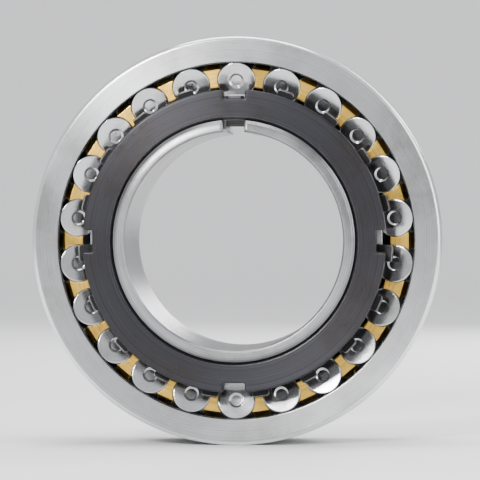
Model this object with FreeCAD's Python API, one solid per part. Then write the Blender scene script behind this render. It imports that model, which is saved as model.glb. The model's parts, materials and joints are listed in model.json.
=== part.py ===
import FreeCAD, Part
import math
import os

# Double-row spherical roller bearing on a split adapter sleeve, with its lock nut and tab washer.
#
# The bearing axis is Y and the origin is the centre of the spherical raceway. The nut is on the -Y side.
# The outer ring has one spherical raceway, a lubrication groove and three radial holes. The inner ring has
# two raceways, a retaining flange at each side and a tapered bore. Barrel rollers run in two rows, half a
# pitch apart, in a one-piece machined cage with prongs to both sides. A loose guide ring lies between the
# rows on the inner ring. Every outline is drawn in the half-plane of (radius, place along Y) and turned.

# Bearing envelope, in millimetres
outer_diameter = 340.0
bore_diameter = 200.0  # at the small end of the taper, on the nut side
ring_width = 112.0
taper = 1.0 / 12.0  # growth of the bore's diameter along the axis
outer_corner = 3.5
bore_corner = 3.0

# Rollers and raceways
raceway_radius = 157.5  # the sphere in the outer ring
contact_angle = math.radians(11.8)
rollers_per_row = 22
roller_diameter = 34.0
roller_length = 44.0
roller_corner = 1.5
dimple_radius = 6.0
dimple_depth = 1.0
dimple_slope = 1.2
roller_crown = 154.0  # radius of the barrel's long curve
inner_curve = 157.5  # radius of an inner raceway's long curve
raceway_gap = 0.25  # between a roller and either raceway

# Outer ring details
raceway_edge = 1.2
groove_width = 16.7
groove_depth = 3.2
groove_slope = 1.4
oil_hole_diameter = 9.0
oil_holes = 3

# Inner ring, guide ring and cage
flange_radius = 121.5
flange_gap = 0.3
relief_depth = 0.7
relief_width = 1.2
guide_gap = 0.35
guide_outer_radius = 139.0
end_gap = 0.3  # between a roller's inner end and the guide ring
pocket_gap = 0.5
web_inner_radius = 139.5
web_outer_radius = 152.0
prong_above = 10.5  # height of a prong outside the rollers' axes
prong_below = 5.0
prong_root = 15.0  # where the prong's underside turns up to the web, before the roller's middle
prong_tip = 50.6  # of the cage's end face, along Y

# Adapter sleeve, tab washer and lock nut
shaft_diameter = 180.0
sleeve_large_end = 58.0
sleeve_thread_end = -92.0
sleeve_slot = 18.0
thread_radius = 99.8
thread_chamfer = 2.5
sleeve_chamfer = 1.5
washer_thickness = 2.5
washer_bore_radius = 100.3
washer_rim_radius = 113.0
washer_tabs = 19
tab_width = 14.0
tab_length = 18.8
tab_lift = math.radians(25.0)
tab_corner = 2.5
key_width = 16.0
key_tip_radius = 94.5
tab_floor_gap = 0.4
nut_diameter = 250.0
nut_thickness = 29.0
nut_slots = 4
nut_slot_width = 18.0
nut_slot_depth = 8.0
nut_bevel = math.radians(30.0)
nut_corner = 1.5
small_round = 0.8
top = 90.0  # degrees from +X towards +Z, where the sleeve's slot and the folded tab are

half_width = ring_width / 2
outer_radius = outer_diameter / 2
bore_radius = bore_diameter / 2
roller_radius = roller_diameter / 2
half_length = roller_length / 2
pitch_angle = 360.0 / rollers_per_row
roller_distance = raceway_radius - raceway_gap - roller_radius  # of a roller's middle from the origin
washer_face = -half_width - washer_thickness
nut_face = washer_face - nut_thickness

origin = FreeCAD.Vector(0, 0, 0)
bearing_axis = FreeCAD.Vector(0, 1, 0)


def along_contact(distance, lengthwise, side=1):
    """(radius, y) of a point given from the origin: distance out along the contact line of one row,
    and lengthwise along that row's roller axis, away from the bearing's middle plane."""
    radius = distance * math.cos(contact_angle) - lengthwise * math.sin(contact_angle)
    place = distance * math.sin(contact_angle) + lengthwise * math.cos(contact_angle)
    return radius, side * place


def bore_at(place):
    """Radius of the tapered bore."""
    return bore_radius + (place + half_width) * taper / 2


def end_face_at(radius, gap):
    """Place along Y of a surface that keeps this gap from the rollers' inner ends, at this radius."""
    face_radius, face_place = along_contact(roller_distance, -half_length)
    rise = (radius - face_radius) * math.tan(contact_angle)
    return face_place + rise - gap / math.cos(contact_angle)


def vector(point):
    return FreeCAD.Vector(point[0], point[1], 0)


def round_corner(before, corner, after, radius):
    """Start, middle and end of the arc that rounds a corner of two straight lines."""
    back = (vector(before) - vector(corner)).normalize()
    on = (vector(after) - vector(corner)).normalize()
    half = back.getAngle(on) / 2
    reach = radius / math.tan(half)
    middle_way = (back + on).normalize()
    middle = vector(corner) + middle_way * (radius / math.sin(half) - radius)
    return vector(corner) + back * reach, middle, vector(corner) + on * reach


def outline(steps):
    """Closed wire. The first step is a sharp corner (radius, y). Each later step is a sharp corner,
    a corner to round (radius, y, rounding), or an arc (middle point, end point) from the corner before."""
    corners = [step[-1] if isinstance(step[0], tuple) else step for step in steps]
    pen = vector(corners[0])
    edges = []
    count = len(steps)
    for index in range(1, count + 1):
        step = steps[index % count]
        if isinstance(step[0], tuple):
            edges.append(Part.Arc(pen, vector(step[0]), vector(step[1])).toShape())
            pen = vector(step[1])
            continue
        if len(step) == 2:
            edges.append(Part.LineSegment(pen, vector(step)).toShape())
            pen = vector(step)
            continue
        start, middle, end = round_corner(corners[index - 1], step, corners[(index + 1) % count], step[2])
        edges.append(Part.LineSegment(pen, start).toShape())
        edges.append(Part.Arc(start, middle, end).toShape())
        pen = end
    return Part.Wire(edges)


def turned(*steps):
    """Solid of an outline turned about the bearing axis."""
    return Part.Face(outline(steps)).revolve(origin, bearing_axis, 360)


def spread(shape, angle):
    """Copy of a shape that lies at +X, turned about Y to an angle measured from +X towards +Z."""
    copy = shape.copy()
    copy.rotate(origin, bearing_axis, -angle)
    return copy


def block(width, low_radius, high_radius, low_place, high_place):
    """Box across the half-plane at +X, for slots."""
    corner = FreeCAD.Vector(low_radius, low_place, -width / 2)
    return Part.makeBox(high_radius - low_radius, high_place - low_place, width, corner)


def make_outer_ring():
    edge_place = half_width - raceway_edge
    edge_radius = math.sqrt(raceway_radius**2 - edge_place**2)
    side_radius = edge_radius + raceway_edge
    floor_radius = outer_radius - groove_depth
    groove_edge = groove_width / 2
    ring = turned(
        (side_radius, -half_width),
        (outer_radius, -half_width, outer_corner),
        (outer_radius, -groove_edge),
        (floor_radius, -groove_edge + groove_slope, small_round),
        (floor_radius, groove_edge - groove_slope, small_round),
        (outer_radius, groove_edge),
        (outer_radius, half_width, outer_corner),
        (side_radius, half_width),
        (edge_radius, edge_place),
        ((raceway_radius, 0.0), (edge_radius, -edge_place)),
    )
    inside = raceway_radius - groove_depth
    drill = Part.makeCylinder(
        oil_hole_diameter / 2, outer_radius - inside, FreeCAD.Vector(inside, 0, 0), FreeCAD.Vector(1, 0, 0)
    )
    for hole in range(oil_holes):
        ring = ring.cut(spread(drill, top + hole * 360.0 / oil_holes))
    return ring


def inner_raceway_point(lengthwise, side):
    """Point of an inner raceway's long curve, lengthwise from the roller's middle."""
    bottom = roller_distance - roller_radius - raceway_gap
    rise = inner_curve - math.sqrt(inner_curve**2 - lengthwise**2)
    return along_contact(bottom + rise, lengthwise, side)


def land_radius():
    """Radius of the inner ring between its raceways, where the guide ring lies."""
    return inner_raceway_point(-half_length, 1)[0]


def raceway_side(side):
    """The inner ring's outline on one side, from the side face to the land."""
    flange_face = half_length + flange_gap
    foot_radius, foot_place = inner_raceway_point(flange_face - relief_width, side)
    corner_distance = roller_distance - roller_radius - raceway_gap
    rise = (flange_radius - along_contact(corner_distance, flange_face)[0]) / math.cos(contact_angle)
    flange_top = along_contact(corner_distance + rise, flange_face, side)
    relief_out = along_contact(corner_distance - relief_depth + relief_width, flange_face, side)
    relief_in = along_contact(corner_distance - relief_depth + relief_width, flange_face - relief_width, side)
    return [
        (flange_radius, side * half_width, small_round),
        (*flange_top, small_round),
        relief_out,
        relief_in,
        (foot_radius, foot_place),
        (inner_raceway_point(0.0, side), inner_raceway_point(-half_length, side)),
    ]


def make_inner_ring():
    front, back = raceway_side(-1), raceway_side(1)
    back_middle, back_land = back[-1]
    return turned(
        back_land,
        (back_middle, back[-2]),
        *reversed(back[:-2]),
        (bore_at(half_width), half_width, bore_corner),
        (bore_at(-half_width), -half_width, bore_corner),
        *front,
    )


def make_guide_ring():
    inner = land_radius() + guide_gap
    inner_place = end_face_at(inner, end_gap)
    outer_place = end_face_at(guide_outer_radius, end_gap)
    return turned(
        (inner, 0.0),
        (inner, -inner_place, small_round),
        (guide_outer_radius, -outer_place, small_round),
        (guide_outer_radius, outer_place, small_round),
        (inner, inner_place, small_round),
    )


def barrel(grown=0.0, reach=None):
    """Roller about its own axis Y, with its middle at the origin. The cutter for a cage pocket is the same
    barrel grown by the pocket's gap, plain at its ends, and carried on to reach past the prong's tip."""
    radius = roller_radius + grown
    crown = roller_crown + grown
    end = half_length + grown
    if reach is not None:
        end_radius = radius - crown + math.sqrt(crown**2 - end**2)
        return turned(
            (0.0, -end),
            (end_radius, -end),
            ((radius, 0.0), (end_radius, end)),
            (end_radius, reach),
            (0.0, reach),
        )
    straight = end - roller_corner
    edge_radius = radius - crown + math.sqrt(crown**2 - straight**2)
    flat_radius = edge_radius - roller_corner
    bend = roller_corner * math.sqrt(0.5)
    bend_radius = flat_radius + bend
    bend_place = straight + bend
    floor = end - dimple_depth
    floor_radius = dimple_radius - dimple_slope
    return turned(
        (0.0, -floor),
        (floor_radius, -floor),
        (dimple_radius, -end),
        (flat_radius, -end),
        ((bend_radius, -bend_place), (edge_radius, -straight)),
        ((radius, 0.0), (edge_radius, straight)),
        ((bend_radius, bend_place), (flat_radius, end)),
        (dimple_radius, end),
        (floor_radius, floor),
        (0.0, floor),
    )


def in_row(shape, side, index):
    """Copy of a shape made about a roller's own axis, put in its place in a row. Side is -1 for the nut's
    side and 1 for the other. The shape's +Y end always faces out of the bearing."""
    radius, place = along_contact(roller_distance, 0.0, side)
    lean = math.degrees(contact_angle)
    copy = shape.copy()
    copy.rotate(origin, FreeCAD.Vector(0, 0, 1), lean if side > 0 else 180.0 - lean)
    copy.translate(FreeCAD.Vector(radius, place, 0))
    return spread(copy, top + (index + (0.5 if side > 0 else 0.0)) * pitch_angle)


def cage_side(side):
    """The cage blank's outline on one side: prong underside from the web out, end face, and outside."""
    root = along_contact(roller_distance - prong_below, -prong_root, side)
    slope = -math.tan(contact_angle)
    low_radius, low_place = along_contact(roller_distance - prong_below, 0.0)
    high_radius, high_place = along_contact(roller_distance + prong_above, 0.0)
    low_tip = low_radius + (prong_tip - low_place) * slope
    high_tip = high_radius + (prong_tip - high_place) * slope
    shoulder_place = high_place + (web_outer_radius - high_radius) / slope
    return [
        (web_inner_radius, side * end_face_at(web_inner_radius, 0.0)),
        root,
        (low_tip, side * prong_tip, small_round),
        (high_tip, side * prong_tip, small_round),
        (web_outer_radius, side * shoulder_place),
    ]


def make_cage():
    """Turned blank with 44 pockets. The same four cutters, at the top and bottom of both rows, cut it again
    and again while the blank is turned by one pitch, as on a dividing head."""
    cage = turned(*cage_side(-1), *reversed(cage_side(1)))
    cutter = barrel(pocket_gap, 2 * half_length)
    half_count = rollers_per_row // 2
    cutters = [in_row(cutter, side, index) for side in (-1, 1) for index in (0, half_count)]
    for _ in range(half_count):
        cage = spread(cage, pitch_angle).cut(cutters)
    return cage


def make_adapter_sleeve():
    inner = shaft_diameter / 2
    taper_end = (thread_radius - bore_radius) * 2 / taper - half_width
    sleeve = turned(
        (inner + sleeve_chamfer, sleeve_thread_end),
        (thread_radius - thread_chamfer, sleeve_thread_end),
        (thread_radius, sleeve_thread_end + thread_chamfer),
        (thread_radius, taper_end),
        (bore_at(sleeve_large_end), sleeve_large_end, sleeve_chamfer),
        (inner + sleeve_chamfer, sleeve_large_end),
        (inner, sleeve_large_end - sleeve_chamfer),
        (inner, sleeve_thread_end + sleeve_chamfer),
    )
    slot = block(
        sleeve_slot, inner - sleeve_slot, bore_radius + sleeve_slot, sleeve_thread_end - 1, sleeve_large_end + 1
    )
    return sleeve.cut(spread(slot, top))


def nut_bevel_place(radius):
    """Place along Y of the nut's bevelled edge beside the washer."""
    return washer_face - (radius - washer_rim_radius) * math.tan(nut_bevel)


def make_lock_nut():
    nut_radius = nut_diameter / 2
    nut = turned(
        (thread_radius, washer_face - thread_chamfer),
        (thread_radius + thread_chamfer, washer_face),
        (washer_rim_radius, washer_face),
        (nut_radius, nut_bevel_place(nut_radius), small_round),
        (nut_radius, nut_face, nut_corner),
        (thread_radius + thread_chamfer, nut_face),
        (thread_radius, nut_face + thread_chamfer),
    )
    slot = block(
        nut_slot_width, nut_radius - nut_slot_depth, nut_radius + nut_slot_depth, nut_face - 1, washer_face + 1
    )
    for index in range(nut_slots):
        nut = nut.cut(spread(slot, top + index * 360.0 / nut_slots))
    return nut


def bent_strip(*centre_line):
    """Tab of sheet metal at +X: a side outline of (radius, y) corners, as wide as a tab, with its two
    tip corners rounded. The outline's third and fourth points are the tip."""
    wire = Part.makePolygon([vector(point) for point in (*centre_line, centre_line[0])])
    strip = Part.Face(wire).extrude(FreeCAD.Vector(0, 0, tab_width))
    strip.translate(FreeCAD.Vector(0, 0, -tab_width / 2))
    tip = (vector(centre_line[2]) + vector(centre_line[3])) * 0.5
    corners = [
        edge
        for edge in strip.Edges
        if abs(edge.Length - washer_thickness) < 0.01
        and abs(FreeCAD.Vector(edge.CenterOfMass.x, edge.CenterOfMass.y, 0).distanceToPoint(tip)) < 0.01
    ]
    return strip.makeFillet(tab_corner, corners)


def free_tab():
    """Tab bent up towards the nut, over its bevel."""
    run = tab_length * math.cos(tab_lift)
    rise = tab_length * math.sin(tab_lift)
    across = washer_thickness * math.sin(tab_lift)
    down = washer_thickness * math.cos(tab_lift)
    root = washer_rim_radius - tab_corner
    outside = washer_rim_radius + washer_thickness * math.tan(tab_lift / 2)
    return bent_strip(
        (root, -half_width),
        (outside, -half_width),
        (washer_rim_radius + run + across, washer_face - rise + down),
        (washer_rim_radius + run, washer_face - rise),
        (washer_rim_radius, washer_face),
        (root, washer_face),
    )


def folded_tab():
    """Tab folded along the nut's bevel and down into its slot."""
    floor = nut_diameter / 2 - nut_slot_depth + tab_floor_gap
    first = (floor - washer_rim_radius) / math.cos(nut_bevel)
    tip = nut_bevel_place(floor) - (tab_length - first)
    outside = washer_rim_radius + washer_thickness * math.tan(nut_bevel / 2)
    root = washer_rim_radius - tab_corner
    return bent_strip(
        (root, -half_width),
        (floor + washer_thickness, -half_width - (floor + washer_thickness - outside) * math.tan(nut_bevel)),
        (floor + washer_thickness, tip),
        (floor, tip),
        (floor, nut_bevel_place(floor)),
        (washer_rim_radius, washer_face),
        (root, washer_face),
    )


def make_lock_washer():
    washer = turned(
        (washer_bore_radius, -half_width),
        (washer_rim_radius, -half_width),
        (washer_rim_radius, washer_face),
        (washer_bore_radius, washer_face),
    )
    key = block(key_width, key_tip_radius, washer_bore_radius + 1, washer_face, -half_width)
    tabs = [spread(key, top), spread(folded_tab(), top)]
    plain = free_tab()
    for index in range(1, washer_tabs):
        tabs.append(spread(plain, top + index * 360.0 / washer_tabs))
    return washer.multiFuse(tabs).removeSplitter()


def save(name, shape):
    """Writes one sub-part, and says what it is made of."""
    solids = shape.Solids
    whole = solids[0] if len(solids) == 1 else Part.makeCompound(solids)
    whole.exportStep(os.path.join("parts", name + ".step"))
    print(name, "solids", len(solids), "valid", whole.isValid(), "volume", round(whole.Volume, 1))


os.makedirs("parts", exist_ok=True)
save("outer_ring", make_outer_ring())
save("inner_ring", make_inner_ring())
save("guide_ring", make_guide_ring())
save("cage", make_cage())
roller = barrel()
for row, side in (("front", -1), ("back", 1)):
    for number in range(rollers_per_row):
        save(f"roller_{row}_{number + 1:02d}", in_row(roller, side, number))
save("adapter_sleeve", make_adapter_sleeve())
save("lock_nut", make_lock_nut())
save("lock_washer", make_lock_washer())
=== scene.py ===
import json
import math

import bmesh
import bpy
import numpy as np
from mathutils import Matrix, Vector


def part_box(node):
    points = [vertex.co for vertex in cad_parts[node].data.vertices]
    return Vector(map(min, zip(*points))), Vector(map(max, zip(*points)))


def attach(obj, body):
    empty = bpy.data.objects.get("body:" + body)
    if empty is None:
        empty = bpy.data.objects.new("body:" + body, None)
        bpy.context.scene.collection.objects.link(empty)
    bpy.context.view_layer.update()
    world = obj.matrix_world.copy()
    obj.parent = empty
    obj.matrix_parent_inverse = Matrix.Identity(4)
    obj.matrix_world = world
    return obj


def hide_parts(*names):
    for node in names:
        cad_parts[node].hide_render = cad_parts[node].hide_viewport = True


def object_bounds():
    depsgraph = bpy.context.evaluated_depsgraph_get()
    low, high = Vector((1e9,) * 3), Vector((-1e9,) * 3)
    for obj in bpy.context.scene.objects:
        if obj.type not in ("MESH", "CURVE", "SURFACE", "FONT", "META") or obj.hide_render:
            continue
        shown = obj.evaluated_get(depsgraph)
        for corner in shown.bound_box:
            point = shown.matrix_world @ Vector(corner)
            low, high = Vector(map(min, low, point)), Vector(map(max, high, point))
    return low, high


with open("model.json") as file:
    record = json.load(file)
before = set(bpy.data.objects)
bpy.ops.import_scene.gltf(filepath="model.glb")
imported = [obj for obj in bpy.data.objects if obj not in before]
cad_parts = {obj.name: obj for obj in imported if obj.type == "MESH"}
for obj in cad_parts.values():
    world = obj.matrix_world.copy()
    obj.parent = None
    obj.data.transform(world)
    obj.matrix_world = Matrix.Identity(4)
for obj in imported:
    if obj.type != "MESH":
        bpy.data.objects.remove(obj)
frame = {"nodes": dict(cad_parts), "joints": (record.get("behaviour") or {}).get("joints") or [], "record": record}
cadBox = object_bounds()
print("frame loaded, CAD box", cadBox)

mm = 0.001
mounts = {mount["name"]: mount for mount in frame["record"]["mounts"]}
joints = {joint["name"]: joint for joint in frame["joints"]}
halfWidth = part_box("outer_ring")[1].y
seatRadius = mounts["outer_seat"]["dims"]["r_mm"] * mm
shaftRadius = mounts["shaft_bore"]["dims"]["r_mm"] * mm
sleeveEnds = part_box("adapter_sleeve")[0].y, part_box("adapter_sleeve")[1].y
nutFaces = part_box("lock_nut")[0].y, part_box("lock_nut")[1].y


# Closed or open outline through corners (a, b, rounding). Each corner becomes the arc that is tangent to
# both of its straight sides, cut into equal steps, with one more point just outside each end of the arc so
# that the flat beside it stays flat when shaded. An array among the corners is a curve already worked out.
def roundedOutline(corners, steps=4, closed=True, hold=0.25 * mm):
    ends = [np.atleast_2d(corner if isinstance(corner, np.ndarray) else corner[:2]) for corner in corners]
    count = len(corners)
    points = []
    for index, corner in enumerate(corners):
        loose = not closed and index in (0, count - 1)
        if loose or isinstance(corner, np.ndarray) or len(corner) == 2:
            points.append(ends[index])
            continue
        middle = ends[index][0]
        back = ends[index - 1][-1] - middle
        onward = ends[(index + 1) % count][0] - middle
        backLength, onLength = np.linalg.norm(back), np.linalg.norm(onward)
        back, onward = back / backLength, onward / onLength
        half = math.acos(np.clip(back @ onward, -1, 1)) / 2
        reach = min(corner[2] / math.tan(half), 0.45 * backLength, 0.45 * onLength)
        radius = reach * math.tan(half)
        bisector = (back + onward) / np.linalg.norm(back + onward)
        centre = middle + bisector * radius / math.sin(half)
        start, skinAndHighlight = middle + back * reach, middle + onward * reach
        turn = np.linspace(0, 1, steps + 1)[:, None]
        first, last = start - centre, skinAndHighlight - centre
        sweep = math.pi - 2 * half
        arc = centre + (np.sin((1 - turn) * sweep) * first + np.sin(turn * sweep) * last) / math.sin(sweep)
        before = middle + back * (reach + min(hold, 0.3 * (backLength - reach)))
        after = middle + onward * (reach + min(hold, 0.3 * (onLength - reach)))
        points.append(np.vstack([before, arc, after]))
    return np.vstack(points)


# Merges points closer than a distance, and drops edges and faces smaller than the least size.
def mergePoints(mesh, distance, least):
    work = bmesh.new()
    work.from_mesh(mesh)
    bmesh.ops.remove_doubles(work, verts=work.verts, dist=distance)
    bmesh.ops.dissolve_degenerate(work, edges=work.edges, dist=least)
    work.to_mesh(mesh)
    work.free()


# Mesh of a grid of points (rows, columns, 3). Rows and columns may close on themselves. Faces are turned
# outwards by the sign of the volume they enclose, and points that coincide at a pole or a run-out are
# merged. Caps close the open ends of a row of columns, uv gives the texture places of the faces' corners,
# and values are kept as a point attribute, which the steel reads as dark skin and painted highlight.
def gridMesh(name, points, closeRows=True, closeColumns=True, uv=None, caps=False, values=None):
    rows, columns = points.shape[:2]
    i = np.arange(rows if closeRows else rows - 1)[:, None]
    j = np.arange(columns if closeColumns else columns - 1)[None, :]
    iNext, jNext = (i + 1) % rows, (j + 1) % columns
    here, nextRow = i * columns, iNext * columns
    faces = np.stack([here + j, nextRow + j, nextRow + jNext, here + jNext], -1).reshape(-1, 4)
    flat = points.reshape(-1, 3)
    a, b, c, d = (flat[faces[:, k]] for k in range(4))
    volume = np.einsum("ij,ij", a, np.cross(b, c)) + np.einsum("ij,ij", a, np.cross(c, d))
    flip = volume < 0
    if flip:
        faces = faces[:, ::-1]
    polygons = faces.tolist()
    if caps:
        first = (np.arange(rows) * columns).tolist()
        last = [corner + columns - 1 for corner in first]
        polygons += [first, last[::-1]] if flip else [first[::-1], last]
    mesh = bpy.data.meshes.new(name)
    mesh.from_pydata(flat, [], polygons)
    if uv is not None:
        cornerUv = uv(i, j).reshape(-1, 4, 2)
        if flip:
            cornerUv = cornerUv[:, ::-1]
        layer = mesh.uv_layers.new(name="UVMap")
        layer.data.foreach_set("uv", cornerUv.reshape(-1).astype(np.float32))
    if values is not None:
        attribute = mesh.attributes.new("skinAndHighlight", "FLOAT", "POINT")
        spread = np.broadcast_to(values, (rows, columns)).astype(np.float32)
        attribute.data.foreach_set("value", spread.reshape(-1))
    mergePoints(mesh, distance=0.0001 * mm, least=0.00001 * mm)
    mesh.shade_smooth()
    piece = bpy.data.objects.new(name, mesh)
    bpy.context.scene.collection.objects.link(piece)
    return piece


# Ring about the Y axis: every point (radius, y) of a closed profile goes round the circle, so a point of
# the surface is (radius cos angle, y, radius sin angle).
def turnedRing(name, profile, columns, values):
    angle = np.linspace(0, 2 * np.pi, columns, endpoint=False)[None, :]
    radius, place = profile[:, 0, None], profile[:, 1, None]
    points = np.stack([radius * np.cos(angle), place + 0 * angle, radius * np.sin(angle)], -1)
    return gridMesh(name, points, values=values[:, None])


# Puts a piece in the place of a node of the frame: on its body and with a material, with the node hidden.
def standFor(piece, node, body, material):
    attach(piece, body)
    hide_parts(node)
    piece.data.materials.clear()
    piece.data.materials.append(material)


# Cuts a piece with others, which are then removed.
def cutAway(piece, cutters):
    for cutter in cutters:
        boolean = piece.modifiers.new("cut", "BOOLEAN")
        boolean.object = cutter
        boolean.solver = "EXACT"
    depsgraph = bpy.context.evaluated_depsgraph_get()
    result = bpy.data.meshes.new_from_object(piece.evaluated_get(depsgraph))
    mergePoints(result, distance=0.005 * mm, least=0.001 * mm)
    piece.modifiers.clear()
    piece.data = result
    for cutter in cutters:
        bpy.data.objects.remove(cutter)


def newGroup(name, inputs, outputs):
    group = bpy.data.node_groups.new(name, "ShaderNodeTree")
    for label, kind, value in inputs:
        socket = group.interface.new_socket(name=label, in_out="INPUT", socket_type="NodeSocket" + kind)
        if value is not None:
            socket.default_value = value
    for label, kind in outputs:
        group.interface.new_socket(name=label, in_out="OUTPUT", socket_type="NodeSocket" + kind)
    return group, group.nodes.new("NodeGroupInput"), group.nodes.new("NodeGroupOutput")


# Puts a value or a link into a socket, so that a chain of nodes reads like a sum.
def feed(tree, socket, value):
    if isinstance(value, bpy.types.NodeSocket):
        tree.links.new(value, socket)
    else:
        socket.default_value = value


def mathNode(tree, operation, *values, clamp=False):
    node = tree.nodes.new("ShaderNodeMath")
    node.operation = operation
    node.use_clamp = clamp
    for socket, value in zip(node.inputs, values):
        feed(tree, socket, value)
    return node.outputs[0]


def rangeNode(tree, value, fromLow, fromHigh, toLow, toHigh):
    node = tree.nodes.new("ShaderNodeMapRange")
    for socket, given in zip(node.inputs, (value, fromLow, fromHigh, toLow, toHigh)):
        feed(tree, socket, given)
    return node.outputs[0]


def noiseNode(tree, vector, scale, detail=3.0, roughness=0.55, dimensions="3D"):
    node = tree.nodes.new("ShaderNodeTexNoise")
    node.noise_dimensions = dimensions
    feed(tree, node.inputs["W" if dimensions == "1D" else "Vector"], vector)
    feed(tree, node.inputs["Scale"], scale)
    node.inputs["Detail"].default_value = detail
    node.inputs["Roughness"].default_value = roughness
    return node.outputs["Fac"]


def mixColour(tree, factor, first, second):
    node = tree.nodes.new("ShaderNodeMix")
    node.data_type = "RGBA"
    feed(tree, node.inputs["Factor"], factor)
    feed(tree, node.inputs["A"], first)
    feed(tree, node.inputs["B"], second)
    return node.outputs["Result"]


marking = {
    "detail": 4.0,
    "roughness": 0.75,
    "contrast": 1.6,
    "patchScale": 38.0,
    "patchShare": 0.6,
    "axialShare": 1.37,
    "low": 0.2,
    "high": 0.8,
}


# Fine lines left by turning or grinding, square to a coordinate in metres. Lines is their height,
# 0.5 + contrast * (noise - 0.5). Patches is where the tool bit a little deeper.
def makeToolMarks():
    group, given, out = newGroup(
        "toolMarks",
        [("Across", "Float", 0.0), ("Vector", "Vector", None), ("Spacing", "Float", 1.0)],
        [("Lines", "Float"), ("Patches", "Float")],
    )
    rate = mathNode(group, "DIVIDE", 1000.0, given.outputs["Spacing"])
    fine = noiseNode(group, given.outputs["Across"], rate, marking["detail"], marking["roughness"], "1D")
    patches = noiseNode(group, given.outputs["Vector"], marking["patchScale"], 3.0, 0.6)
    middled = mathNode(group, "SUBTRACT", fine, 0.5)
    lines = mathNode(group, "MULTIPLY_ADD", middled, marking["contrast"], 0.5)
    group.links.new(lines, out.inputs["Lines"])
    group.links.new(patches, out.inputs["Patches"])
    return group


wearing = {
    "samples": 6,
    "flat": 0.995,
    "sharp": 0.80,
    "breakScale": 260.0,
    "breakLow": 0.36,
    "breakHigh": 0.60,
    "leastBare": 0.35,
}


# Edges rubbed bare. Mask is where the surface turns within Width of a point, broken up by noise: flat and
# sharp are the cosines of the turn where it starts and is full. Normal is the surface's own, rounded over
# edges by the same width.
def makeEdgeWear():
    group, given, out = newGroup(
        "edgeWear",
        [("Width", "Float", 0.0008), ("Amount", "Float", 1.0), ("Vector", "Vector", None)],
        [("Mask", "Float"), ("Normal", "Vector")],
    )
    bevel = group.nodes.new("ShaderNodeBevel")
    bevel.samples = wearing["samples"]
    group.links.new(given.outputs["Width"], bevel.inputs["Radius"])
    geometry = group.nodes.new("ShaderNodeNewGeometry")
    dot = group.nodes.new("ShaderNodeVectorMath")
    dot.operation = "DOT_PRODUCT"
    group.links.new(bevel.outputs[0], dot.inputs[0])
    group.links.new(geometry.outputs["Normal"], dot.inputs[1])
    turned = rangeNode(group, dot.outputs["Value"], wearing["flat"], wearing["sharp"], 0.0, 1.0)
    uneven = noiseNode(group, given.outputs["Vector"], wearing["breakScale"], 4.0, 0.65)
    broken = rangeNode(group, uneven, wearing["breakLow"], wearing["breakHigh"], wearing["leastBare"], 1.0)
    worn = mathNode(group, "MULTIPLY", turned, broken)
    mask = mathNode(group, "MULTIPLY", worn, given.outputs["Amount"], clamp=True)
    group.links.new(mask, out.inputs["Mask"])
    group.links.new(bevel.outputs[0], out.inputs["Normal"])
    return group


oiling = {
    "filmLow": 0.42,
    "filmHigh": 0.62,
    "fineTimes": 7.0,
    "smearLow": 0.35,
    "smearHigh": 0.65,
    "leastStain": 0.1,
    "mostStain": 0.55,
    "dryRough": 1.12,
    "oiledRough": 0.86,
}


# Thin oil and handling: Film is where oil has spread, and Smear is a noise fineTimes as fine.
def makeOilFilm():
    group, given, out = newGroup(
        "oilFilm",
        [("Vector", "Vector", None), ("Scale", "Float", 14.0)],
        [("Film", "Float"), ("Smear", "Float")],
    )
    wide = noiseNode(group, given.outputs["Vector"], given.outputs["Scale"], 4.0, 0.6)
    film = rangeNode(group, wide, oiling["filmLow"], oiling["filmHigh"], 0.0, 1.0)
    fineScale = mathNode(group, "MULTIPLY", given.outputs["Scale"], oiling["fineTimes"])
    fine = noiseNode(group, given.outputs["Vector"], fineScale, 5.0, 0.65)
    group.links.new(film, out.inputs["Film"])
    group.links.new(fine, out.inputs["Smear"])
    return group


toolMarks, edgeWear, oilFilm = makeToolMarks(), makeEdgeWear(), makeOilFilm()


def placeGroup(tree, group, **values):
    node = tree.nodes.new("ShaderNodeGroup")
    node.node_tree = group
    for label, value in values.items():
        feed(tree, node.inputs[label], value)
    return node.outputs


# Material with one shader. The marks run along its tangent, round the axis or by a roller's own map, and a
# quarter turn spreads the highlights across them.
def newMaterial(name, metallic, anisotropic, tangent):
    material = bpy.data.materials.new(name)
    material.use_nodes = True
    tree = material.node_tree
    shader = tree.nodes["Principled BSDF"]
    shader.inputs["Metallic"].default_value = metallic
    shader.inputs["Anisotropic"].default_value = anisotropic
    shader.inputs["Anisotropic Rotation"].default_value = 0.25
    node = tree.nodes.new("ShaderNodeTangent")
    node.direction_type = tangent
    node.axis = "Y"
    tree.links.new(node.outputs[0], shader.inputs["Tangent"])
    return material, tree, shader


# A coordinate in metres, sqrt(x^2 + z^2) + share * y, that grows both outwards and along the axis, so that
# its levels are rings on every turned face, cylinder and cone.
def acrossTurning(tree, vector):
    separate = tree.nodes.new("ShaderNodeSeparateXYZ")
    feed(tree, separate.inputs[0], vector)
    x, y, z = separate.outputs
    squares = mathNode(tree, "ADD", mathNode(tree, "MULTIPLY", x, x), mathNode(tree, "MULTIPLY", z, z))
    return mathNode(tree, "MULTIPLY_ADD", y, marking["axialShare"], mathNode(tree, "SQRT", squares))


def bumpNode(tree, height, distance, normal):
    node = tree.nodes.new("ShaderNodeBump")
    node.inputs["Distance"].default_value = distance
    feed(tree, node.inputs["Height"], height)
    feed(tree, node.inputs["Normal"], normal)
    return node.outputs[0]


def objectCoordinate(tree):
    return tree.nodes.new("ShaderNodeTexCoord").outputs["Object"]


finishing = {
    "skinShare": 0.85,
    "skinRougher": 0.16,
    # Share of the mask for the painted highlight and the polish on the outer ring's rounded corners.
    "polishAndHighlightShare": 0.9,
    "polishSmoother": 0.10,
    "leastRough": 0.05,
}
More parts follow.
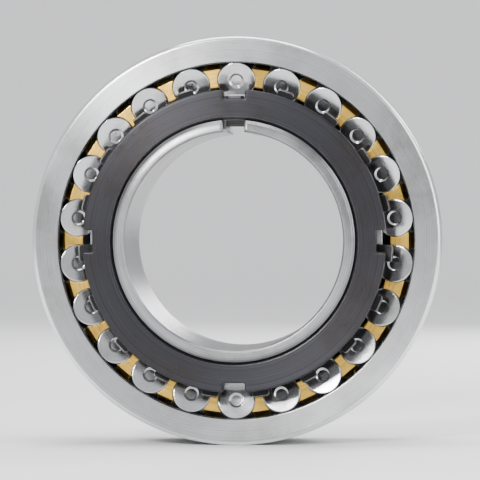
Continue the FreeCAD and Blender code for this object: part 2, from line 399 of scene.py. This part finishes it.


# Metal as turned or ground. The settings are the dull and bright colours of its tool marks, the colours of
# bare edges and of stains under old oil, the range of roughness, the marks' spacing in millimetres and
# depth in metres, the width of worn edges and how bare they are, how much smears change the roughness, and
# how fine the oil's patches are. The bare colour also serves as a painted highlight. On a marked piece a point
# attribute is 1 where the dark skin stays and -1 where a painted highlight goes: there the colour is pulled to
# the bare colour as a bright line where light would catch, and the roughness is lowered as on polished steel.
def metalMaterial(name, settings, alongUv=False, hasSkinAndHighlight=False):
    tangent = "UV_MAP" if alongUv else "RADIAL"
    material, tree, shader = newMaterial(name, settings["metallic"], settings["sheen"], tangent)
    place = objectCoordinate(tree)
    if alongUv:
        separate = tree.nodes.new("ShaderNodeSeparateXYZ")
        feed(tree, separate.inputs[0], tree.nodes.new("ShaderNodeUVMap").outputs[0])
        across = separate.outputs[1]
    else:
        across = acrossTurning(tree, place)
    marks = placeGroup(tree, toolMarks, Across=across, Vector=place, Spacing=settings["spacing"])
    wear = placeGroup(tree, edgeWear, Width=settings["edge"], Amount=settings["bare"], Vector=place)
    oil = placeGroup(tree, oilFilm, Vector=place, Scale=settings["oilScale"])
    tone = rangeNode(tree, marks["Lines"], marking["low"], marking["high"], 0.0, 1.0)
    colour = mixColour(tree, tone, settings["dull"], settings["bright"])
    stainRange = oiling["leastStain"], oiling["mostStain"]
    streaks = rangeNode(tree, oil["Smear"], oiling["smearLow"], oiling["smearHigh"], *stainRange)
    stained = mathNode(tree, "MULTIPLY", oil["Film"], streaks)
    colour = mixColour(tree, stained, colour, settings["stain"])
    smooth, coarse = settings["rough"]
    rough = rangeNode(tree, marks["Lines"], marking["low"], marking["high"], coarse, smooth)
    smeared = mathNode(tree, "SUBTRACT", oil["Smear"], 0.5)
    rough = mathNode(tree, "MULTIPLY_ADD", smeared, settings["smear"], rough)
    oiled = rangeNode(tree, oil["Film"], 0.0, 1.0, oiling["dryRough"], oiling["oiledRough"])
    rough = mathNode(tree, "MULTIPLY", rough, oiled)
    bare = wear["Mask"]
    if hasSkinAndHighlight:
        node = tree.nodes.new("ShaderNodeAttribute")
        node.attribute_name = "skinAndHighlight"
        skin = mathNode(tree, "MAXIMUM", node.outputs["Fac"], 0.0)
        # Painted highlight: where the attribute is -1, the colour is mixed towards the bare colour as a painted
        # bright line, and the roughness is lowered as by polish.
        polishAndPaintedHighlight = mathNode(tree, "MULTIPLY", node.outputs["Fac"], -finishing["polishAndHighlightShare"], clamp=True)
        dark = mathNode(tree, "MULTIPLY", skin, finishing["skinShare"])
        colour = mixColour(tree, dark, colour, settings["skin"])
        rough = mathNode(tree, "MULTIPLY_ADD", skin, finishing["skinRougher"], rough)
        rough = mathNode(tree, "MULTIPLY_ADD", polishAndPaintedHighlight, -finishing["polishSmoother"], rough)
        bare = mathNode(tree, "MAXIMUM", bare, polishAndPaintedHighlight)
    colour = mixColour(tree, bare, colour, settings["bareAndHighlightColour"])
    feed(tree, shader.inputs["Base Color"], colour)
    feed(tree, shader.inputs["Roughness"], mathNode(tree, "MAXIMUM", rough, finishing["leastRough"]))
    deeper = mathNode(tree, "MULTIPLY", marks["Patches"], marking["patchShare"])
    height = mathNode(tree, "ADD", marks["Lines"], deeper)
    feed(tree, shader.inputs["Normal"], bumpNode(tree, height, settings["depth"], wear["Normal"]))
    return material


groundSteel = metalMaterial(
    "groundSteel",
    {
        "metallic": 1.0,
        "sheen": 0.7,
        "dull": (0.27, 0.275, 0.285, 1),
        "bright": (0.47, 0.475, 0.485, 1),
        # Bare edges, and also the painted highlight on the outer ring's rounded corners.
        "bareAndHighlightColour": (0.82, 0.82, 0.83, 1),
        "stain": (0.20, 0.19, 0.17, 1),
        "skin": (0.11, 0.11, 0.115, 1),
        "rough": (0.24, 0.36),
        "spacing": 0.9,
        "depth": 0.000016,
        "edge": 0.0011,
        "bare": 0.8,
        "smear": 0.10,
        "oilScale": 12.0,
    },
    hasSkinAndHighlight=True,
)
rollerSteel = metalMaterial(
    "rollerSteel",
    {
        "metallic": 1.0,
        "sheen": 0.35,
        "dull": (0.42, 0.425, 0.435, 1),
        "bright": (0.66, 0.665, 0.68, 1),
        "bareAndHighlightColour": (0.86, 0.86, 0.87, 1),
        "stain": (0.34, 0.32, 0.29, 1),
        "rough": (0.10, 0.19),
        "spacing": 0.6,
        "depth": 0.000006,
        "edge": 0.0007,
        "bare": 0.7,
        "smear": 0.06,
        "oilScale": 30.0,
    },
    alongUv=True,
)
sleeveSteel = metalMaterial(
    "sleeveSteel",
    {
        "metallic": 1.0,
        "sheen": 0.6,
        "dull": (0.20, 0.20, 0.21, 1),
        "bright": (0.37, 0.375, 0.385, 1),
        "bareAndHighlightColour": (0.78, 0.78, 0.79, 1),
        "stain": (0.12, 0.11, 0.10, 1),
        "rough": (0.28, 0.42),
        "spacing": 1.3,
        "depth": 0.000025,
        "edge": 0.0009,
        "bare": 0.8,
        "smear": 0.12,
        "oilScale": 16.0,
    },
)
nutSteel = metalMaterial(
    "nutSteel",
    {
        "metallic": 0.75,
        "sheen": 0.55,
        "dull": (0.014, 0.014, 0.017, 1),
        "bright": (0.038, 0.038, 0.044, 1),
        "bareAndHighlightColour": (0.42, 0.42, 0.43, 1),
        "stain": (0.030, 0.022, 0.016, 1),
        "rough": (0.27, 0.42),
        "spacing": 1.6,
        "depth": 0.00004,
        "edge": 0.0013,
        "bare": 0.9,
        "smear": 0.16,
        "oilScale": 18.0,
    },
)
washerSteel = metalMaterial(
    "washerSteel",
    {
        "metallic": 0.8,
        "sheen": 0.0,
        "dull": (0.055, 0.055, 0.058, 1),
        "bright": (0.10, 0.10, 0.105, 1),
        "bareAndHighlightColour": (0.55, 0.55, 0.56, 1),
        "stain": (0.05, 0.04, 0.03, 1),
        "rough": (0.36, 0.50),
        "spacing": 2.4,
        "depth": 0.00001,
        "edge": 0.0008,
        "bare": 0.9,
        "smear": 0.2,
        "oilScale": 24.0,
    },
)
guideIron = metalMaterial(
    "guideIron",
    {
        "metallic": 0.9,
        "sheen": 0.3,
        "dull": (0.10, 0.10, 0.105, 1),
        "bright": (0.19, 0.19, 0.195, 1),
        "bareAndHighlightColour": (0.50, 0.50, 0.50, 1),
        "stain": (0.07, 0.06, 0.05, 1),
        "rough": (0.36, 0.48),
        "spacing": 1.1,
        "depth": 0.00001,
        "edge": 0.0006,
        "bare": 0.6,
        "smear": 0.12,
        "oilScale": 20.0,
    },
)
cageBrass = metalMaterial(
    "cageBrass",
    {
        "metallic": 1.0,
        "sheen": 0.5,
        "dull": (0.42, 0.24, 0.038, 1),
        "bright": (0.74, 0.48, 0.092, 1),
        "bareAndHighlightColour": (0.98, 0.77, 0.32, 1),
        "stain": (0.23, 0.12, 0.020, 1),
        "rough": (0.22, 0.36),
        "spacing": 1.2,
        "depth": 0.00003,
        "edge": 0.0009,
        "bare": 0.9,
        "smear": 0.16,
        "oilScale": 22.0,
    },
)
print("materials made")


ring = {
    "raceway": 157.5 * mm,
    "corner": 3.5 * mm,
    "lip": 1.2 * mm,
    "grooveRoot": 0.8 * mm,
    "grooveWidth": 16.7 * mm,
    "grooveDepth": 3.2 * mm,
    "grooveSlope": 1.4 * mm,
    "holeRadius": 4.5 * mm,
    "holes": 3,
    "drillLength": 40 * mm,
    "drillSides": 48,
    "edge": 0.35 * mm,
    "columns": 288,
}


# The profile is the ring's section: two ground side faces, the groove's trapezium in the outside, and the
# raceway as an arc of the sphere about the origin, y from edge to edge at radius sqrt(sphere^2 - y^2). The
# groove keeps its dark skin, and the rounded outer corners get a painted highlight, a bright line in their colour.
def makeOuterRing():
    lipPlace = halfWidth - ring["lip"]
    lipRadius = math.sqrt(ring["raceway"] ** 2 - lipPlace ** 2)
    sideRadius = lipRadius + ring["lip"]
    floor = seatRadius - ring["grooveDepth"]
    grooveEdge = ring["grooveWidth"] / 2
    angle = np.linspace(1, -1, 49)[1:-1] * math.asin(lipPlace / ring["raceway"])
    raceway = ring["raceway"] * np.stack([np.cos(angle), np.sin(angle)], -1)
    outside = roundedOutline(
        [
            (lipRadius, -lipPlace, ring["edge"]),
            (sideRadius, -halfWidth, ring["edge"]),
            (seatRadius, -halfWidth, ring["corner"]),
            (seatRadius, -grooveEdge, ring["edge"]),
            (floor, -grooveEdge + ring["grooveSlope"], ring["grooveRoot"]),
            (floor, grooveEdge - ring["grooveSlope"], ring["grooveRoot"]),
            (seatRadius, grooveEdge, ring["edge"]),
            (seatRadius, halfWidth, ring["corner"]),
            (sideRadius, halfWidth, ring["edge"]),
            (lipRadius, lipPlace, ring["edge"]),
            raceway,
        ],
        steps=5,
    )
    radius, place = outside.T
    inGroove = (np.abs(place) < grooveEdge - ring["edge"]) & (radius > ring["raceway"])
    inGroove &= radius < seatRadius - 0.001 * mm
    alongCorner = np.abs(place) - halfWidth + ring["corner"]
    upCorner = radius - seatRadius + ring["corner"]
    onArc = np.hypot(alongCorner, upCorner) > ring["corner"] * 0.999
    atCorner = (alongCorner > 0) & (upCorner > 0) & onArc
    # 1 in the groove for its dark skin, -1 on the rounded outer corners for their painted highlight.
    skinAndHighlight = inGroove.astype(float) - atCorner
    piece = turnedRing("outer_ring_turned", outside, ring["columns"], skinAndHighlight)
    drills = []
    for index in range(ring["holes"]):
        angle = math.pi / 2 + index * 2 * math.pi / ring["holes"]
        bpy.ops.mesh.primitive_cylinder_add(
            vertices=ring["drillSides"],
            radius=ring["holeRadius"],
            depth=ring["drillLength"],
            location=(seatRadius * math.cos(angle), 0, seatRadius * math.sin(angle)),
            rotation=(0, math.pi / 2 - angle, 0),
        )
        drills.append(bpy.context.object)
    cutAway(piece, drills)
    standFor(piece, "outer_ring", "outer_ring", groundSteel)


makeOuterRing()
print("outer ring made")


roller = {
    "radius": 17.0 * mm,
    "halfLength": 22.0 * mm,
    "crown": 154.0 * mm,
    "corner": 1.5 * mm,
    "dimple": 6.0 * mm,
    "dimpleDepth": 1.0 * mm,
    "dimpleSlope": 1.2 * mm,
    "dimpleRoot": 0.5 * mm,
    "dimpleEdge": 0.3 * mm,
    "columns": 72,
}


# A barrel's outline is a dimple, a flat end and a rounded corner, then the crown: at distance t from the
# middle the radius is r - c + sqrt(c^2 - t^2), with c the crown's own radius. The far end mirrors the first.
def rollerProfile():
    straight = roller["halfLength"] - roller["corner"]
    t = np.linspace(-straight, straight, 25)
    crown = roller["radius"] - roller["crown"] + np.sqrt(roller["crown"] ** 2 - t ** 2)
    edge = crown[0]
    floor = -roller["halfLength"] + roller["dimpleDepth"]
    end = roundedOutline(
        [
            (0, floor),
            (roller["dimple"] - roller["dimpleSlope"], floor, roller["dimpleRoot"]),
            (roller["dimple"], -roller["halfLength"], roller["dimpleEdge"]),
            (edge, -roller["halfLength"], roller["corner"]),
            (edge, -straight + 0.5 * mm),
        ],
        steps=5,
        closed=False,
    )[:-2]
    half = np.vstack([end, np.stack([crown, t], -1)])
    return np.vstack([half, (end * [1, -1])[::-1]])


# A barrel stands on its own joint: a point is centre + along * axis + radius * (cos a * side + sin a * up),
# with side and up square to the axis.
def makeRoller(node, profile):
    joint = joints[node + "_spin"]
    centre = np.array(joint["pos_m"])
    axis = np.array(joint["axis"])
    axis = axis / np.linalg.norm(axis)
    outwards = centre - axis * (centre @ axis)
    side = outwards / np.linalg.norm(outwards)
    up = np.cross(axis, side)
    angle = np.linspace(0, 2 * np.pi, roller["columns"], endpoint=False)[None, :, None]
    radius, along = profile[:, 0, None, None], profile[:, 1, None, None]
    points = centre + along * axis + radius * (np.cos(angle) * side + np.sin(angle) * up)
    steps = np.hypot(*np.diff(profile, axis=0).T)
    travelled = np.concatenate([[0], np.cumsum(steps)])

    def corners(i, j):
        u = np.stack([j, j, j + 1, j + 1], -1) / roller["columns"] * 2 * np.pi * roller["radius"]
        v = travelled[np.stack([i, i + 1, i + 1, i], -1)]
        return np.stack(np.broadcast_arrays(u, v), -1)

    piece = gridMesh(node + "_ground", points, closeRows=False, uv=corners)
    standFor(piece, node, joint["child"], rollerSteel)


profile = rollerProfile()
for node in sorted(frame["nodes"]):
    if node.startswith("roller_"):
        makeRoller(node, profile)
print("rollers made")


nut = {
    "radius": 125.0 * mm,
    "thread": 99.8 * mm,
    "chamfer": 2.5 * mm,
    "flat": 113.0 * mm,
    "bevel": math.radians(30),
    "slotHalf": 9.0 * mm,
    "slotFloor": 117.0 * mm,
    "slots": 4,
    "firstSlot": math.radians(90),
    "slotEdge": 2.0 * mm,
    "slotRoot": 1.2 * mm,
    "floorShare": 0.8,
    "corner": 1.5 * mm,
    "lip": 0.9 * mm,
    "hold": 0.3 * mm,
    "boreEdge": 0.4 * mm,
    "bevelEdge": 0.6 * mm,
    "sectorSteps": 60,
}


# Outline of the nut seen along its axis. One sector is a slot's floor, its wall and edge, the outer arc,
# and the next slot's edge and wall, and it is turned on by one sector for every slot.
def nutContour():
    def turning(angle):
        return np.array([[math.cos(angle), -math.sin(angle)], [math.sin(angle), math.cos(angle)]])

    edgeAngle = math.asin(nut["slotHalf"] / nut["radius"])
    pitch = math.pi * 2 / nut["slots"]
    arc = np.linspace(edgeAngle, pitch - edgeAngle, nut["sectorSteps"])
    rim = nut["radius"] * np.stack([np.cos(arc), np.sin(arc)], -1)
    share = nut["floorShare"]
    across = np.linspace(-share, share, 6) * (nut["slotHalf"] - nut["slotRoot"])
    farFloor = turning(pitch) @ np.array([nut["slotFloor"], -nut["slotHalf"]])
    sector = [
        np.stack([np.full(len(across), nut["slotFloor"]), across], -1),
        (nut["slotFloor"], nut["slotHalf"], nut["slotRoot"]),
        (*rim[0], nut["slotEdge"]),
        rim[2:-2],
        (*rim[-1], nut["slotEdge"]),
        (*farFloor, nut["slotRoot"]),
    ]
    corners = []
    for index in range(nut["slots"]):
        turn = turning(nut["firstSlot"] + index * pitch)
        for corner in sector:
            if isinstance(corner, np.ndarray):
                corners.append(corner @ turn.T)
            else:
                corners.append((*(turn @ np.array(corner[:2])), corner[2]))
    return roundedOutline(corners, steps=5, hold=nut["hold"])


# The nut's section is carried round that outline. Points near the bore stay at a fixed radius, and their
# angle grows by the outline's own turn plus its move in or out over the radius, so that no face folds back
# beside a slot. Points near the rim stay at a fixed inset from the outline, square to it, and the bevel's y
# falls with the radius.
def makeLockNut():
    contour = nutContour()
    ahead, behind = np.roll(contour, -1, 0), np.roll(contour, 1, 0)
    along = ahead - behind
    normal = np.stack([along[:, 1], -along[:, 0]], -1) / np.linalg.norm(along, axis=1, keepdims=True)
    reach = np.linalg.norm(contour, axis=1)
    polar = np.unwrap(np.arctan2(contour[:, 1], contour[:, 0]))
    turned = np.append(np.diff(polar), 2 * math.pi + polar[0] - polar[-1])
    growth = np.maximum(turned, 0) + np.abs(np.roll(reach, -1) - reach) / nut["radius"]
    angle = np.cumsum(growth) - growth
    angle = angle * 2 * math.pi / growth.sum()
    angle += (polar - angle).mean()
    front, back = nutFaces

    def circle(radius, place):
        return np.stack([radius * np.cos(angle), np.full(len(angle), place), radius * np.sin(angle)], -1)

    def inset(depth, place):
        moved = contour - normal * depth
        return np.stack([moved[:, 0], np.broadcast_to(place, len(moved)), moved[:, 1]], -1)

    slope = math.tan(nut["bevel"])
    bevelPlace = back - (reach - nut["flat"]) * slope
    corner, hold, lip = nut["corner"], nut["hold"], nut["lip"]
    bore = roundedOutline(
        [
            (nut["thread"] + nut["chamfer"] + 4 * mm, front),
            (nut["thread"] + nut["chamfer"], front, nut["boreEdge"]),
            (nut["thread"], front + nut["chamfer"], nut["boreEdge"]),
            (nut["thread"], back - nut["chamfer"], nut["boreEdge"]),
            (nut["thread"] + nut["chamfer"], back, nut["boreEdge"]),
            (nut["flat"], back, nut["bevelEdge"]),
            (nut["flat"] + 3 * mm, back - 3 * mm * slope),
        ],
        steps=3,
        closed=False,
    )[:-1]
    rows = [circle(radius, place) for radius, place in bore]
    for depth in (lip + hold, lip):
        rows.append(inset(depth, bevelPlace + depth * slope))
    for turn in np.linspace(0, 1, 5)[1:]:
        depth = lip * (1 - math.sin(turn * math.pi / 2))
        drop = lip * (1 - math.cos(turn * math.pi / 2))
        rows.append(inset(depth, bevelPlace + depth * slope - drop))
    rows.append(inset(0, bevelPlace - lip - hold))
    rows.append(inset(0, front + corner + hold))
    for turn in np.linspace(0, 1, 6):
        depth = corner * (1 - math.cos(turn * math.pi / 2))
        rise = corner * (1 - math.sin(turn * math.pi / 2))
        rows.append(inset(depth, front + rise))
    rows.append(inset(corner + hold, front))
    piece = gridMesh("lock_nut_turned", np.stack(rows))
    standFor(piece, "lock_nut", "inner_set", nutSteel)


makeLockNut()
print("lock nut made")


sleeve = {
    "slotHalf": 9.0 * mm,
    "taper": 1 / 24,
    "smallRadius": 100.0 * mm,
    "threadRadius": 99.8 * mm,
    "pitch": 3.0 * mm,
    "threadDepth": 1.6 * mm,
    "threadFoot": 0.85,
    "threadFlank": 0.7,
    "runOutTurns": 2,
    "threadChamfer": 2.5 * mm,
    "chamfer": 1.5 * mm,
    "edge": 0.3 * mm,
    "stepsPerPitch": 8,
    "columns": 300,
}


# The section goes from angle asin(half slot / radius) past the top all the way round to the other side of
# the slot, so that both walls of the slot are flat. On the thread, row q lies at
# y = start + pitch * (q - turns), and its radius is the crest's less the depth times
# (foot - |2 frac(q) - 1|) / flank, held between 0 and 1. The last turns run out to nothing, and the end's
# chamfer cuts the crests back.
def makeSleeve():
    near, far = sleeveEnds
    taperEnd = -halfWidth + (sleeve["threadRadius"] - sleeve["smallRadius"]) / sleeve["taper"]
    farRadius = sleeve["smallRadius"] + (far + halfWidth) * sleeve["taper"]
    turns = np.linspace(0, 1, sleeve["columns"])[None, :]
    length = taperEnd - near
    rows = int(math.ceil(length / sleeve["pitch"]) + 1) * sleeve["stepsPerPitch"]
    q = (np.arange(rows + 1) / sleeve["stepsPerPitch"])[:, None]
    y = np.clip(near + sleeve["pitch"] * (q - turns), near, taperEnd)
    phase = np.abs((q % 1.0) * 2 - 1)
    cut = np.clip((sleeve["threadFoot"] - phase) / sleeve["threadFlank"], 0, 1) * sleeve["threadDepth"]
    runOut = np.clip((taperEnd - y) / (sleeve["runOutTurns"] * sleeve["pitch"]), 0, 1)
    crest = sleeve["threadRadius"] - cut * runOut
    chamfered = sleeve["threadRadius"] - sleeve["threadChamfer"] + (y - near)
    thread = np.stack([np.minimum(crest, chamfered), y], -1)
    rest = roundedOutline(
        [
            (sleeve["threadRadius"], taperEnd),
            (farRadius, far, sleeve["chamfer"]),
            (shaftRadius + sleeve["chamfer"], far, sleeve["edge"]),
            (shaftRadius, far - sleeve["chamfer"], sleeve["edge"]),
            (shaftRadius, near + sleeve["chamfer"], sleeve["edge"]),
            (shaftRadius + sleeve["chamfer"], near, sleeve["edge"]),
            (sleeve["threadRadius"] - sleeve["threadChamfer"], near),
        ],
        steps=4,
        closed=False,
    )
    restRows = np.repeat(rest[:, None, :], sleeve["columns"], axis=1)
    section = np.concatenate([thread, restRows])
    radius, place = section[..., 0], section[..., 1]
    edgeAngle = np.arcsin(sleeve["slotHalf"] / radius)
    angle = math.pi / 2 + edgeAngle + turns * (2 * math.pi - 2 * edgeAngle)
    points = np.stack([radius * np.cos(angle), place, radius * np.sin(angle)], -1)
    piece = gridMesh("adapter_sleeve_turned", points, closeColumns=False, caps=True)
    standFor(piece, "adapter_sleeve", "inner_set", sleeveSteel)


makeSleeve()
print("adapter sleeve made")


# These four keep their own meshes. Their sharp edges are rounded by the edge wear's normal.
keptFinishes = {
    "inner_ring": groundSteel,
    "guide_ring": guideIron,
    "cage": cageBrass,
    "lock_washer": washerSteel,
}
for node, material in keptFinishes.items():
    frame["nodes"][node].data.materials.clear()
    frame["nodes"][node].data.materials.append(material)
print("kept pieces finished")


studio = {
    "dull": (0.89, 0.89, 0.885, 1),
    "bright": (0.93, 0.93, 0.925, 1),
    "grainScale": 60.0,
    "roughness": 0.85,
    "specular": 0.2,
    "flatRings": (0.01, 1.0, 3.0),
    "flatRadius": 5.0,
    "sweepRadius": 2.6,
    "height": 3.4,
    "columns": 96,
}


# Floor that sweeps up into a low wall all round: a disc, then a quarter circle, then straight up. A point
# is (reach cos angle, reach sin angle, bottom + rise).
def makeBackdrop():
    turn = np.linspace(0, math.pi / 2, 20)
    sweep = studio["flatRadius"] + studio["sweepRadius"] * np.sin(turn)
    reach = np.concatenate([studio["flatRings"], sweep, sweep[-1:]])[:, None]
    level = np.zeros(len(studio["flatRings"]))
    rise = np.concatenate([level, studio["sweepRadius"] * (1 - np.cos(turn)), [studio["height"]]])[:, None]
    angle = np.linspace(0, 2 * np.pi, studio["columns"], endpoint=False)
    points = np.stack([reach * np.cos(angle), reach * np.sin(angle), cadBox[0][2] + rise + 0 * angle], -1)
    floor = gridMesh("backdrop", points, closeRows=False)
    material = bpy.data.materials.new("backdropPaper")
    material.use_nodes = True
    tree = material.node_tree
    shader = tree.nodes["Principled BSDF"]
    shader.inputs["Roughness"].default_value = studio["roughness"]
    shader.inputs["Specular IOR Level"].default_value = studio["specular"]
    grain = noiseNode(tree, objectCoordinate(tree), studio["grainScale"], 4.0, 0.6)
    feed(tree, shader.inputs["Base Color"], mixColour(tree, grain, studio["dull"], studio["bright"]))
    floor.data.materials.append(material)


lamps = {
    "keyLight": {"place": (-0.8, -2.6, 1.0), "size": (0.55, 0.55), "power": 85, "colour": (1, 1, 1)},
    "sideLight": {"place": (2.2, -0.9, 0.8), "size": (0.5, 1.8), "power": 30, "colour": (0.96, 0.98, 1)},
    "topLight": {"place": (0, 0, 2.3), "size": (1.6, 1.2), "power": 45, "colour": (1, 1, 1)},
    "backLight": {"place": (0.9, 2.5, 1.0), "size": (0.8, 0.8), "power": 50, "colour": (1, 1, 1)},
}


# Rectangular light that faces the origin from its place (x, y, z): tilted by atan2(sqrt(x^2 + y^2), z) from
# straight down, and turned by atan2(x, -y).
def addLamp(name, settings):
    light = bpy.data.lights.new(name, "AREA")
    light.shape = "RECTANGLE"
    light.size, light.size_y = settings["size"]
    light.energy = settings["power"]
    light.color = settings["colour"]
    lamp = bpy.data.objects.new(name, light)
    bpy.context.scene.collection.objects.link(lamp)
    lamp.location = settings["place"]
    x, y, z = settings["place"]
    lamp.rotation_euler = (math.atan2(math.hypot(x, y), z), 0, math.atan2(x, -y))


sky = {
    "lowColour": (0.55, 0.55, 0.56, 1),
    "highColour": (0.95, 0.96, 1.0, 1),
    "lowPlace": 0.30,
    "highPlace": 0.85,
    "strength": 1.05,
}


# Even light from all round, darker from below: the colour follows the height of the direction looked in.
def makeSky():
    world = bpy.data.worlds.new("studio")
    world.use_nodes = True
    bpy.context.scene.world = world
    tree = world.node_tree
    background = tree.nodes["Background"]
    direction = tree.nodes.new("ShaderNodeSeparateXYZ")
    feed(tree, direction.inputs[0], tree.nodes.new("ShaderNodeTexCoord").outputs["Generated"])
    ramp = tree.nodes.new("ShaderNodeValToRGB")
    low, high = ramp.color_ramp.elements
    low.position, low.color = sky["lowPlace"], sky["lowColour"]
    high.position, high.color = sky["highPlace"], sky["highColour"]
    feed(tree, ramp.inputs[0], rangeNode(tree, direction.outputs[2], -1.0, 1.0, 0.0, 1.0))
    feed(tree, background.inputs["Color"], ramp.outputs[0])
    background.inputs["Strength"].default_value = sky["strength"]


makeBackdrop()
for name, settings in lamps.items():
    addLamp(name, settings)
makeSky()

shot = {
    "azimuth": math.radians(3.4),
    "elevation": math.radians(0.6),
    "distance": 3.4,
    "across": 0.405,
    "sensor": 36,
}


# Camera on a sphere about the object's middle, nearly on the bearing's axis. Across is the width it sees.
def makeCamera():
    camera = bpy.data.objects.new("camera", bpy.data.cameras.new("camera"))
    bpy.context.scene.collection.objects.link(camera)
    bpy.context.scene.camera = camera
    camera.data.sensor_width = shot["sensor"]
    camera.data.lens = shot["sensor"] * shot["distance"] / shot["across"]
    level = shot["distance"] * math.cos(shot["elevation"])
    camera.location = (
        level * math.sin(shot["azimuth"]),
        -level * math.cos(shot["azimuth"]),
        (cadBox[0][2] + cadBox[1][2]) / 2 + shot["distance"] * math.sin(shot["elevation"]),
    )
    camera.rotation_euler = (math.pi / 2 - shot["elevation"], 0, shot["azimuth"])
    camera.data.clip_end = 100


makeCamera()
print("studio made")
